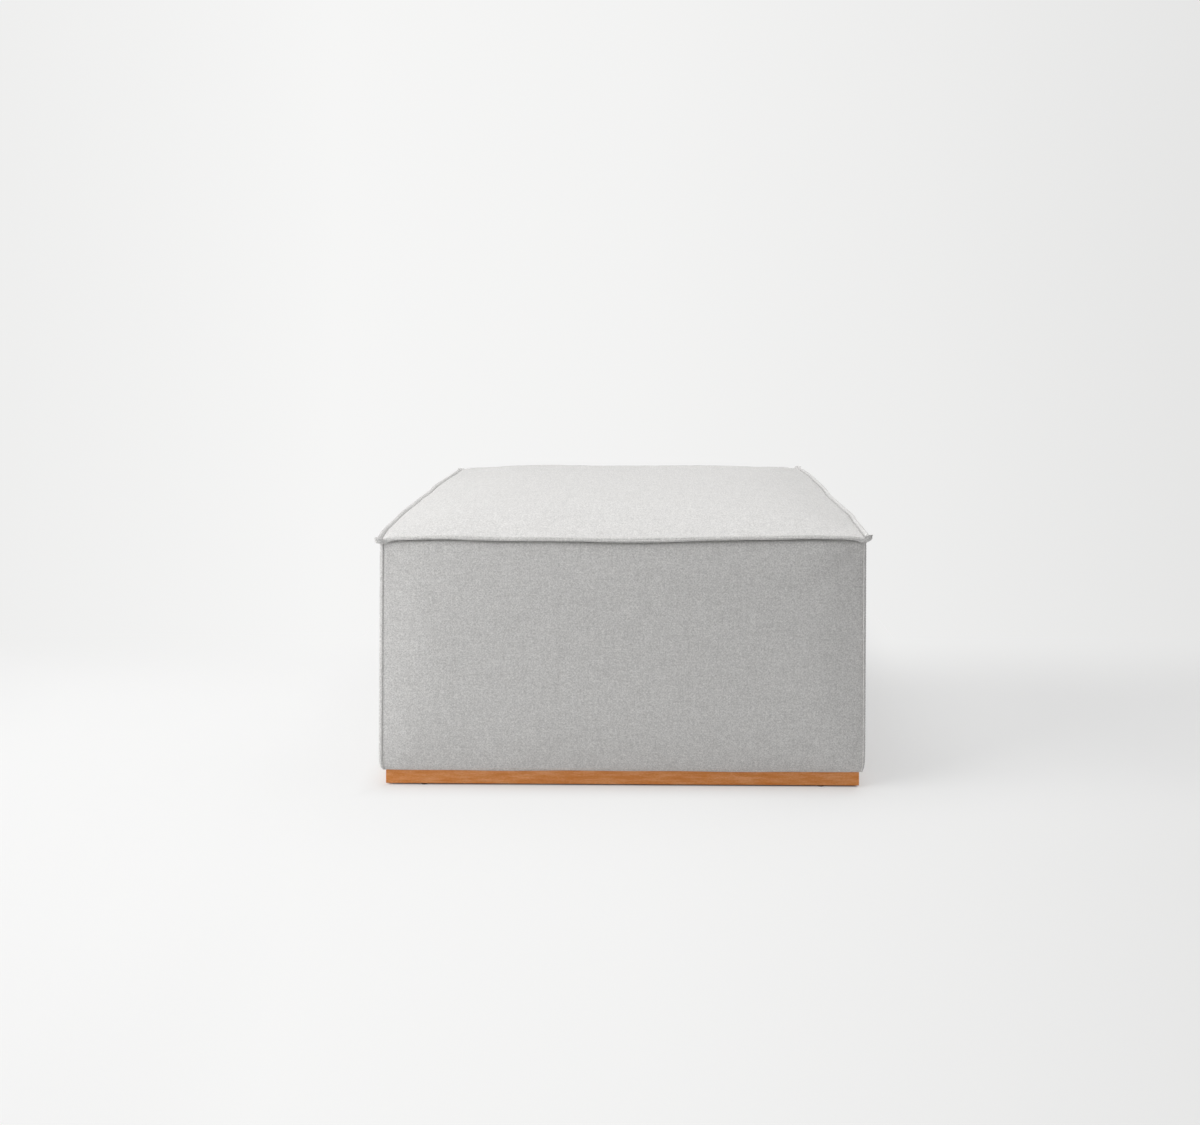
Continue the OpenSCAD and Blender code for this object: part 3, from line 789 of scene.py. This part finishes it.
# How far the flange has rolled up like a cord along each side, from 0 to 1
FLANGE_ROLL = {"front": 0.0, "right": 1.0, "rear": 0.6, "left": 1.0}
# How steeply the ears rise at the left and right corners
EAR_RISE = {"left": 0.4, "right": 0.85}
# Millimetres from a corner in which its ear and its fold fade
EAR_W, FOLD_W = 5, 13


def flange_points(side, a):
    """The flange's section at a place along a side."""
    from_corner = (1 - abs(a)) * HALF / MM
    s, z, bow = a * HALF, float(seam_z(side, np.array(a))), float(seam_bow(side, np.array(a)))

    def rough(size, number):
        return noise.noise((s / size, SIDES.index(side) * 5.1, number))

    ripple = rough(0.045, 0) * 0.9 + rough(0.014, 4) * 0.25
    lean = math.radians(FLANGE_LEAN[side] + 5 * rough(0.13, 9))
    ear = math.exp(-((from_corner / EAR_W) ** 2))
    fold = math.exp(-((from_corner / FOLD_W) ** 2))
    uneven = 1 - 0.7 * FLANGE_ROLL[side]
    ear_rise = EAR_RISE["right" if rightward(side, a) > 0 else "left"]
    width = FLANGE_W * (1 + 0.07 * uneven * rough(0.06, 13) + 0.25 * ear)
    thick = FLANGE_T * (0.92 + 0.16 * uneven * rough(0.03, 17) + 0.6 * fold)
    rolled = (ROLLED_SECTION - FLANGE_SECTION) * FLANGE_ROLL[side] * (1 - fold)
    o, t = (FLANGE_SECTION + rolled).T
    out = o * width
    up = t * thick - fold * (2.0 + 3.0 * (0.5 - t) * (1 - 0.55 * o)) * MM
    up = up + ripple * MM * 0.35 * uneven * o
    rise = out * (math.sin(lean) * (1 - fold) + ear_rise * ear) + up
    reach = out * math.cos(lean)
    along = np.copysign(max(0.0, 1 - from_corner) * reach, a)
    return place(side, s + along, HALF + bow + reach, z + rise)


def sewn_strip(name, rings, cloth, fabric):
    """A closed strip through rings of points, with its ends filled where it has any."""
    bm = bmesh.new()
    grid_into(bm, rings, cloth)
    bmesh.ops.remove_doubles(bm, verts=bm.verts, dist=0.005 * MM)
    bmesh.ops.holes_fill(bm, edges=bm.edges, sides=0)
    bmesh.ops.recalc_face_normals(bm, faces=bm.faces)
    return fresh(name, bm, fabric)


def top_flange(fabric):
    """Two plies that stand out round the top seam, stitched down, with an ear at each corner."""
    rings = np.array([flange_points(side, a) for side, a in flange_ring()])
    rings = np.concatenate([rings, rings[:1]])
    travel, around = lengths_along(rings[:, EDGE_AT]), lengths_along(rings[PLAIN_AT])
    cloth = np.stack(np.broadcast_arrays(around[None, :], travel[:, None]), -1)
    piece = sewn_strip("top_flange_sewn", rings, cloth, fabric)
    smooth = piece.modifiers.new("Smooth", "SUBSURF")
    smooth.levels = smooth.render_levels = 1
    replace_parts(piece, "top_flange")
    return rings


# Section of a corner strip: millimetres from the corner along the side, and above it
STRIP_SECTION = [
    (3.2, 0.0), (3.3, 0.55), (3.0, 1.0), (2.3, 1.15), (1.8, 0.9), (1.3, 1.15), (0.2, 1.2),
    (-1.2, 0.75), (-2.6, -0.1), (-3.7, -1.1), (-4.4, -2.2), (-4.3, -3.2), (-3.2, -3.9),
    (-1.4, -3.6),
]
# Where its stitches run, in the same way, and the part of the section that sways
STITCH_AT, STITCH_UP, SWAYS_PAST = 1.8, 1.3, 2
# The rows of a side that a strip covers, and the columns that it is fitted to
STRIP_ROWS = (0.004, 1.85)
NEAR_COLUMNS = 8
STRIP_AT = {
    "front": "front_left", "right": "front_right",
    "rear": "rear_right", "left": "rear_left",
}
# Stitches: how far apart, and along each seam how long and how thick
STITCH_PITCH = 5.2 * MM
TOP_STITCH, CORNER_STITCH = (4.4 * MM, 0.75 * MM), (4.2 * MM, 0.8 * MM)


def strip_frames(points, side):
    """The direction along a side, and the one in which each of its rows faces near the corner."""
    along = place(side, 1.0, 0.0, 0.0)
    out = -normals_of(points)[:, 2]
    out[:, :2] -= along[:2] * (out[:, :2] @ along[:2])[:, None]
    out /= np.linalg.norm(out, axis=1, keepdims=True)
    return along, out


def strip_point(points, row, along, out, distance, height):
    """A point over the left end of a side, at a distance and height in millimetres."""
    places = (columns(True)[:NEAR_COLUMNS] + 1) * HALF / MM
    spot = [np.interp(distance, places, points[row, :NEAR_COLUMNS, k]) for k in range(3)]
    return np.array(spot) + along * min(distance, 0.0) * MM + out[row] * height * MM


def corner_strips(shapes, fabric):
    """The folded corner seams, pressed onto the left end of each side and topstitched."""
    stitched = []
    for side in SIDES:
        points = shapes[side]
        k = SIDES.index(side) * 3.7
        along, out = strip_frames(points, side)
        first, last = STRIP_ROWS
        rows = [r for r, row in enumerate(side_rows(True)) if first < row < last]
        rings = []
        for r in rows:
            z = points[r, 0][2]
            sway = 0.35 * noise.noise((z / 0.06, k, 1.0))
            puff = 1 + 0.10 * noise.noise((z / 0.012, k, 6.0))
            section = [(d + sway * (d > SWAYS_PAST), h * puff) for d, h in STRIP_SECTION]
            rings.append([strip_point(points, r, along, out, d, h) for d, h in section])
        rings = np.array(rings)[:, ::-1]
        rings = np.concatenate([rings, rings[:, :1]], axis=1)
        piece = sewn_strip("corner_seam_" + STRIP_AT[side], rings, cloth_spots(rings), fabric)
        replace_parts(piece, "corner_flange_" + STRIP_AT[side])
        path = [strip_point(points, r, along, out, STITCH_AT, STITCH_UP) for r in rows]
        stitched += stitch_places(np.array(path), out[rows], STITCH_PITCH)
    return stitched


def stitch_places(path, facing, pitch):
    """Evenly spaced places along a path, as matrices: X along it, Z the way the cloth faces."""
    travel = lengths_along(path)

    def at(way, values):
        return np.array([np.interp(way, travel, values[:, k]) for k in range(3)])

    places = []
    for way in np.arange(pitch, travel[-1] - pitch, pitch):
        spot = at(way, path)
        ahead = at(way + pitch / 2, path) - spot
        up = at(way, facing)
        x = ahead / np.linalg.norm(ahead)
        z = up - x * (up @ x)
        z /= np.linalg.norm(z)
        y = np.cross(z, x)
        rows = [[x[i], y[i], z[i], spot[i]] for i in range(3)]
        places.append(Matrix(rows + [[0, 0, 0, 1]]))
    return places


def stitches(name, places, stitch_size, material):
    """A row of small stitches, each a plump bar whose ends dip into the cloth."""
    one, bm = bmesh.new(), bmesh.new()
    length, thread = stitch_size
    size = Matrix.Diagonal((length / 2, thread / 2, thread / 2, 1))
    bmesh.ops.create_uvsphere(one, u_segments=6, v_segments=5, radius=1, matrix=size)
    pattern = bpy.data.meshes.new("one_stitch")
    one.to_mesh(pattern)
    one.free()
    for spot in places:
        stitch = pattern.copy()
        stitch.transform(spot)
        bm.from_mesh(stitch)
        bpy.data.meshes.remove(stitch)
    bpy.data.meshes.remove(pattern)
    return fresh(name, bm, material)


def between(name, face, back, material):
    """A closed piece between two grids of points whose edges face each other."""
    bm = bmesh.new()
    grid_into(bm, face)
    grid_into(bm, back)
    edges = [e for e in bm.edges if e.is_boundary]
    bmesh.ops.bridge_loops(bm, edges=edges)
    bmesh.ops.recalc_face_normals(bm, faces=bm.faces)
    return fresh(name, bm, material)


# How far the stuffing stays inside the cloth's outer face
STUFFING_INSET = FABRIC_T + SKIN_GAP


def crown_wadding(top, material):
    """Wadding under the top, just clear of its cloth."""
    top = top[::2, ::2]
    face = top - normals_of(top) * STUFFING_INSET
    face[..., :2] *= 1 - STUFFING_INSET / HALF
    back = face.copy()
    back[..., 2] = TOPPER_TOP + 0.2 * MM
    piece = between("crown_wadding_soft", face, back, material)
    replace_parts(piece, "crown_wadding")


def side_pad(side, points, material):
    """A foam pad behind a side, just clear of its cloth and mitred at its ends."""
    rows = enumerate(side_rows(True))
    low = [r for r, row in rows if row <= 2 and points[r, :, 2].max() < TOPPER_TOP]
    grid = points[low[0] - 1:low[-1] + 1:2, ::2].copy()
    face = grid + normals_of(grid) * STUFFING_INSET
    s = face @ place(side, 1.0, 0.0, 0.0)
    depth = face @ place(side, 0.0, 1.0, 0.0)
    s = np.clip(s, STUFFING_INSET - HALF, HALF - STUFFING_INSET) * (1 - 0.3 * MM / HALF)
    s = np.clip(s, -depth, depth)
    z = np.maximum(face[..., 2], HEM_Z + STUFFING_INSET + 0.4 * MM)
    z[0] = TOPPER_TOP - 0.3 * MM
    across = np.linspace(-1, 1, s.shape[1])[None, :] * (HALF - PAD_BACK - 0.3 * MM)
    back = place(side, across, HALF - PAD_BACK + 0.2 * MM, z)
    name = "side_pad_" + side
    piece = between(name + "_soft", place(side, s, depth, z), back, material)
    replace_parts(piece, name)


def foam_block(node, edge, material):
    """A block of cut foam with softened edges and slightly uneven faces, inside its CAD solid."""
    low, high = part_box(node)
    middle, half = (low + high) / 2, (high - low) / 2
    bm = bmesh.new()
    shape = Matrix.Translation(middle) @ Matrix.Diagonal((*half, 1))
    bmesh.ops.create_cube(bm, size=2, matrix=shape)
    bmesh.ops.bevel(bm, geom=bm.edges[:], affect="EDGES", offset=edge, segments=4, profile=0.5,
                    material=-1)
    long_edges = [e for e in bm.edges if e.calc_length() > 60 * MM]
    bmesh.ops.subdivide_edges(bm, edges=long_edges, cuts=40, use_grid_fill=True)
    for vert in bm.verts:
        dip = 0.35 * MM * (1 + noise.noise(vert.co / 0.07))
        vert.co -= (vert.co - middle).normalized() * dip
    piece = fresh(node + "_block", bm, material)
    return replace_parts(piece, node)


# The webbing's straps: their size, their lift where they cross, the height of the rails under them,
# their spacing, and where they end and start to lie flat on the rails
STRAP_W, STRAP_T, STRAP_LIFT = 50 * MM, 1.6 * MM, 0.95 * MM
STRAP_Z, STRAP_STEP = 307.15 * MM, 330.2 / 3 * MM
STRAP_END, STRAP_LANDING = 417.2 * MM, 400.2 * MM


def straps(node, name, along_x, first_over, material):
    """Seven straps that run over and under those of the other direction."""
    bm = bmesh.new()
    s = np.linspace(-STRAP_END, STRAP_END, 181)[None, :]
    w = np.linspace(-STRAP_W / 2, STRAP_W / 2, 7)[:, None]
    wave = np.clip(1.5 * np.cos(np.pi * s / STRAP_STEP), -1, 1)
    wave = wave * np.clip((STRAP_LANDING - np.abs(s)) / 0.03, 0, 1)
    curl = 0.12 * MM * (2 * w / STRAP_W) ** 4
    for k in range(-3, 4):
        sign = 1 if (k + first_over) % 2 == 0 else -1
        z = STRAP_Z + STRAP_T / 2 + sign * STRAP_LIFT * wave - curl
        across = k * STRAP_STEP + w + 0 * s
        x, y = (s, across) if along_x else (-across, s)
        cloth = np.stack(np.broadcast_arrays(s, w), -1)
        grid_into(bm, np.stack(np.broadcast_arrays(x, y, z), -1), cloth)
    piece = fresh(name, bm, material)
    thicken(piece, STRAP_T, 0)
    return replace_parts(piece, node)


# The dust cover: half its width, the middle of its thickness, and half the width between the rails
DUST_HALF, DUST_Z, DUST_T, BETWEEN_RAILS = 429 * MM, 29.25 * MM, 0.4 * MM, 418 * MM


def dust_sheet(material):
    """Thin cloth stretched under the frame, with a slight sag on either side of the cross rail."""
    steps = np.linspace(-DUST_HALF, DUST_HALF, 79)
    x, y = np.meshgrid(steps, steps)
    u = np.clip(np.abs(x) / BETWEEN_RAILS, 0, 1)
    v = np.clip(np.abs(y) / BETWEEN_RAILS, 0, 1)
    sag = 2.5 * MM * np.sin(np.pi * u) ** 2 * (1 - v * v) ** 2
    rumple = soft_noise(np.stack([x, y, 0 * x], -1), 0.07, 2) * 0.5 * MM
    rumple = rumple * np.sin(np.pi * u) ** 2 * (1 - v * v)
    points = np.stack([x, y, DUST_Z - sag - np.abs(rumple)], -1)
    bm = bmesh.new()
    grid_into(bm, points[::-1])
    piece = fresh("dust_cover_cloth", bm, material)
    thicken(piece, DUST_T, 0)
    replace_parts(piece, "dust_cover")
    return piece


def finish_node(node, material):
    """Gives a CAD node its material."""
    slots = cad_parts[node].data.materials
    slots.clear()
    slots.append(material)


# Studio

WORLD_STRENGTH = 0.22
# Square lamps: where they hang, their size in metres and their power in watts
LAMPS = {
    "window": ((-2.95, -1.25, 1.7), 2.6, 95),
    "overhead": ((-0.2, -0.2, 3.2), 2.4, 34),
    "ceiling": ((0.0, 0.0, 3.2), 5.0, 27),
    "right": ((1.4, 0.2, 2.8), 2.4, 29),
    "fill": ((0.1, -2.7, 1.1), 1.5, 3.0),
}
LAMP_AIM = Vector((0, 0, 0.25))
# Tones of the paper behind, from left to right: the way it is seen, and the value on a screen. They
# are painted light: brightest a little left of the middle, a little darker at the far left and
# darker still towards the right.
BACKDROP = [(-0.5, 239), (-0.27, 246), (0.0, 243), (0.25, 237), (0.45, 230)]
# The floor's own tone, how much darker its mottles are, and the metres it reaches each way
FLOOR_TONE, MOTTLE_TONE, FLOOR_REACH = 230.5, 4, 60


def backdrop_tone(finish, sideways):
    """The backdrop's colour where sideways runs from -1 at the far left to 1."""
    stops = [((spot + 1) / 2, (tone, tone, tone - 0.6)) for spot, tone in BACKDROP]
    return finish.ramp(sideways * 0.5 + 0.5, stops)


def add_world():
    """Soft even light, with a pale backdrop where the camera looks past the floor."""
    world = bpy.data.worlds.new("studio")
    world.use_nodes = True
    scene.world = world
    sky = Finish("studio", tree=world.node_tree)
    direction = sky.node("TexCoord", output="Generated")
    tone = backdrop_tone(sky, sky.parts(direction)[0])
    seen = sky.node("Background", {}, {"Color": tone})
    soft = sky.node("Background", {}, {"Strength": WORLD_STRENGTH})
    by_ray = sky.node("MixShader", {}, {0: pale_rays(sky), 1: soft, 2: seen})
    output = sky.tree.nodes.new("ShaderNodeOutputWorld")
    sky.tree.links.new(by_ray.socket, output.inputs["Surface"])


def pale_rays(finish):
    """1 for the rays that see the backdrop as it is: the camera's, and those of gloss and glass."""
    path = finish.node("LightPath").socket.node
    camera, glossy, through = [Wire(finish, path.outputs["Is " + ray + " Ray"])
                               for ray in ("Camera", "Glossy", "Transmission")]
    return camera.most(glossy).most(through)


# Share of the backdrop's tone in the floor that the camera sees: at the plinth, near the pouf, and
# in the shadow and the light at its right and left
SHARE_AT_PLINTH, SHARE_NEAR, SHARE_RIGHT, SHARE_LEFT = 0.42, 0.84, 0.36, 0.64
PLINTH_FACE = 439 * MM
# The place from which the backdrop's tones are laid out on the floor
EYE = Vector((0.03, -2.45, 0.87))


def backdrop_share(x, y):
    """How much of the backdrop's tone the floor takes.

    That is none under the pouf, less in its shadow, and all of it further away.
    """
    apart = x.size().most(y.size())
    shadow = x.eased(0.1, 0.55) * y.eased(-0.62, -0.35)
    near = apart.eased(PLINTH_FACE - 0.007, PLINTH_FACE) * SHARE_AT_PLINTH
    wide = apart.eased(PLINTH_FACE, 0.5)
    left = wide * (1 - x.eased(-0.75, -0.44)) * (SHARE_LEFT - SHARE_NEAR)
    close = near + wide * (SHARE_NEAR - SHARE_AT_PLINTH)
    close = close - wide * shadow * (SHARE_NEAR - SHARE_RIGHT) + left
    away = y.eased(0.0, 0.5) * apart.eased(0.45, 0.72)
    away = away.most(x.size().eased(1.2, 1.9)).most(y.size().eased(1.8, 2.8))
    return close + away * (1 - close)


def floor_paper():
    """Pale paper that takes the shadow, and turns into the backdrop's tone away from the pouf. It
    has a painted shadow in the thin strip under the plinth's edges, but not at its left end.
    """
    f = Finish("floor_paper", Roughness=0.9, Specular_IOR_Level=0.0)
    spot = f.node("TexCoord", output="Object")
    mottle = f.noise(spot, 1.2, 2.0, 0.5)
    plain, darker = [FLOOR_TONE] * 3, [FLOOR_TONE - MOTTLE_TONE] * 3
    color = f.mixed(mottle * 0.3, plain, darker)
    x, y, _ = f.parts(spot)
    apart = x.size().most(y.size())
    # Painted shadow: the floor turns dark grey in the thin strip under the plinth's edges, fading
    # out towards the plinth's left end
    under_plinth_painted_shadow = 1 - apart.eased(PLINTH_FACE - 0.009, PLINTH_FACE - 0.001)
    under_plinth_painted_shadow = under_plinth_painted_shadow * x.eased(-0.43, -0.37)
    f.set(Base_Color=f.mixed(under_plinth_painted_shadow * 0.75, color, (70, 68, 66)))
    reach = f.node("VectorMath", {"operation": "DISTANCE"}, {0: spot, 1: EYE}, "Value")
    glow = f.node("Emission", {}, {"Color": backdrop_tone(f, (x - EYE.x) / reach)})
    share = backdrop_share(x, y) * pale_rays(f)
    paper = Wire(f, f.shader.outputs[0])
    by_ray = f.node("MixShader", {}, {0: share, 1: paper, 2: glow})
    f.tree.links.new(by_ray.socket, f.tree.nodes["Material Output"].inputs["Surface"])
    return f.material


def add_floor():
    bm = bmesh.new()
    bmesh.ops.create_grid(bm, x_segments=1, y_segments=1, size=FLOOR_REACH)
    floor = added("floor", bm)
    floor.data.materials.append(floor_paper())


def add_lamps():
    for name, (spot, size, power) in LAMPS.items():
        data = bpy.data.lights.new(name, "AREA")
        data.shape, data.size, data.energy = "SQUARE", size, power
        lamp = bpy.data.objects.new(name, data)
        scene.collection.objects.link(lamp)
        lamp.location = spot
        lamp.rotation_euler = (LAMP_AIM - lamp.location).to_track_quat("-Z", "Y").to_euler()


# The camera: where it is, its roll, its lens and its shift
CAMERA_AT, CAMERA_ROLL = (0.0318, -2.4495, 0.8736), math.radians(0.315)
LENS_MM, SHIFT = 32.491, (-0.03515, -0.20577)


def add_camera():
    """A level camera in front of the pouf, shifted down to it and rolled a trifle."""
    data = bpy.data.cameras.new("camera")
    data.sensor_width, data.lens = 36, LENS_MM
    data.shift_x, data.shift_y = SHIFT
    camera = bpy.data.objects.new("camera", data)
    scene.collection.objects.link(camera)
    x, y, z = CAMERA_AT
    level, tilt = math.cos(CAMERA_ROLL), math.sin(CAMERA_ROLL)
    camera.matrix_world = Matrix((
        (level, -tilt, 0, x), (0, 0, -1, y), (tilt, level, 0, z), (0, 0, 0, 1),
    ))
    scene.camera = camera


def dress_cover():
    """The sewn cover with its flange, corner seams and stitches. Returns the panels' points."""
    fabric = woven_fabric()
    still = {panel: np.zeros(panel_points(panel, False).shape) for panel in PANELS}
    shapes = cover_panels(settled(), fabric)
    root = top_flange(fabric)[:, STITCHED_AT]
    thread = woven_fabric("cover_thread", "Object", (196, 195, 192), (170, 169, 167))
    facing = np.tile([0.0, 0.0, 1.0], (len(root), 1))
    along_top = stitch_places(root, facing, STITCH_PITCH)
    stitches("stitches_top_seam", along_top, TOP_STITCH, thread)
    stitches("stitches_corner_seams", corner_strips(shapes, fabric), CORNER_STITCH, thread)
    return shapes


def dress_inside(shapes):
    """Wadding, foam, webbing and the dust cover."""
    side_foam = cut_foam("side_foam", (238, 230, 196), (200, 188, 148))
    crown_wadding(shapes["top"], fibre_wadding())
    for side in SIDES:
        side_pad(side, shapes[side], side_foam)
    foam_block("seat_foam", 5 * MM, cut_foam("firm_foam", (232, 222, 176), (190, 176, 128)))
    foam_block("seat_topper", 4 * MM, cut_foam("soft_foam", (244, 242, 228), (212, 208, 188)))
    webbing = strap_webbing()
    straps("webbing_across", "webbing_straps_across", True, 1, webbing)
    straps("webbing_lengthwise", "webbing_straps_lengthwise", False, 0, webbing)
    dust_sheet(dust_cloth())


# The turns that lay a wood's grain along each direction
GRAIN_TURN = {"x": (0, 0, 0), "y": (0, 0, math.pi / 2), "z": (0, math.pi / 2, 0)}


def finish_solids():
    """Finishes of the plinth, the frame and their small parts, on the CAD solids themselves."""
    wood = {way: oiled_wood("plinth_wood_" + way, GRAIN_TURN[way]) for way in "xy"}
    timber = {way: planed_timber("timber_" + way, GRAIN_TURN[way]) for way in "xyz"}
    board, ply = hardboard(), plywood()
    for side in SIDES:
        way = "x" if side in ("front", "rear") else "y"
        finish_node("plinth_" + side, wood[way])
        finish_node("base_rail_" + side, timber[way])
        finish_node("top_rail_" + side, timber[way])
        finish_node("panel_" + side, board)
    others = {
        "base_cross_rail": timber["y"], "corner_posts": timber["z"], "studs": timber["z"],
        "top_braces": timber["x"], "base_gussets": ply, "plinth_blocks": ply,
        "glides": moulded_plastic(), "plinth_screws": plated_steel(),
    }
    for node, material in others.items():
        finish_node(node, material)


scene.view_settings.view_transform = "Standard"
add_camera()
add_lamps()
add_world()
add_floor()
dress_inside(dress_cover())
finish_solids()
